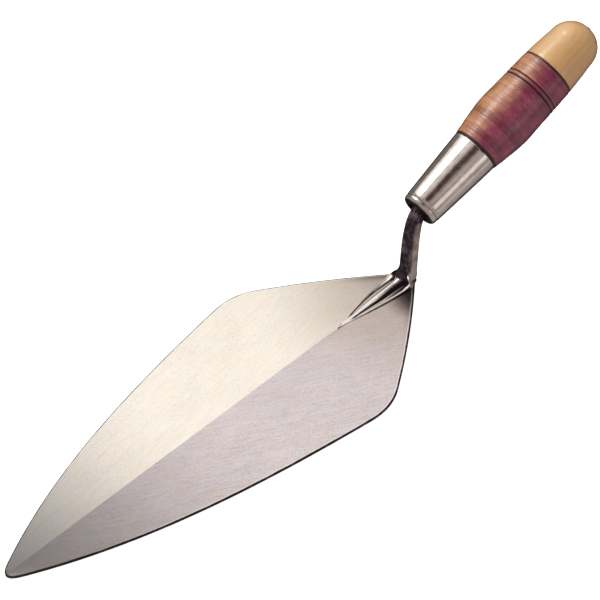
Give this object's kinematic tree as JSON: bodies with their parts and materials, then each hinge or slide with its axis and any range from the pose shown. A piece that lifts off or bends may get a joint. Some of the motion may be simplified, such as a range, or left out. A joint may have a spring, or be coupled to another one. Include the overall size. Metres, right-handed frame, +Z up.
{
  "type": "brick trowel",
  "caption": "Pointed masonry trowel: flat diamond blade, cranked shank and turned leather handle with a wooden butt.",
  "frame": {"origin": "middle of the bounding box's base, on the plane of the blade's underside", "axes": "+X from the blade's toe towards the handle's butt, +Y across the blade, +Z up from the flat underside"},
  "size_m": [0.4134, 0.127, 0.0826],
  "materials": {
    "forged_steel": "ground satin steel, dark forge scale on the shank",
    "ferrule_steel": "polished",
    "core_wood": "bare",
    "fibre": "lacquered",
    "leather": "lacquered",
    "cap_wood": "lacquered",
    "burr_steel": "satin"
  },
  "bodies": {
    "root": {"blade_forging": "forged_steel", "ferrule": "ferrule_steel", "ferrule_plug": "core_wood", "front_spacer": "fibre", "leather_washer_01": "leather", "leather_washer_02": "leather", "leather_washer_03": "leather", "leather_washer_04": "leather", "leather_washer_05": "leather", "leather_washer_06": "leather", "leather_washer_07": "leather", "leather_washer_08": "leather", "leather_washer_09": "leather", "leather_washer_10": "leather", "leather_washer_11": "leather", "leather_washer_12": "leather", "leather_washer_13": "leather", "leather_washer_14": "leather", "leather_washer_15": "leather", "leather_washer_16": "leather", "leather_washer_17": "leather", "rear_spacer": "fibre", "butt_cap": "cap_wood", "butt_washer": "burr_steel"}
  },
  "joints": []
}
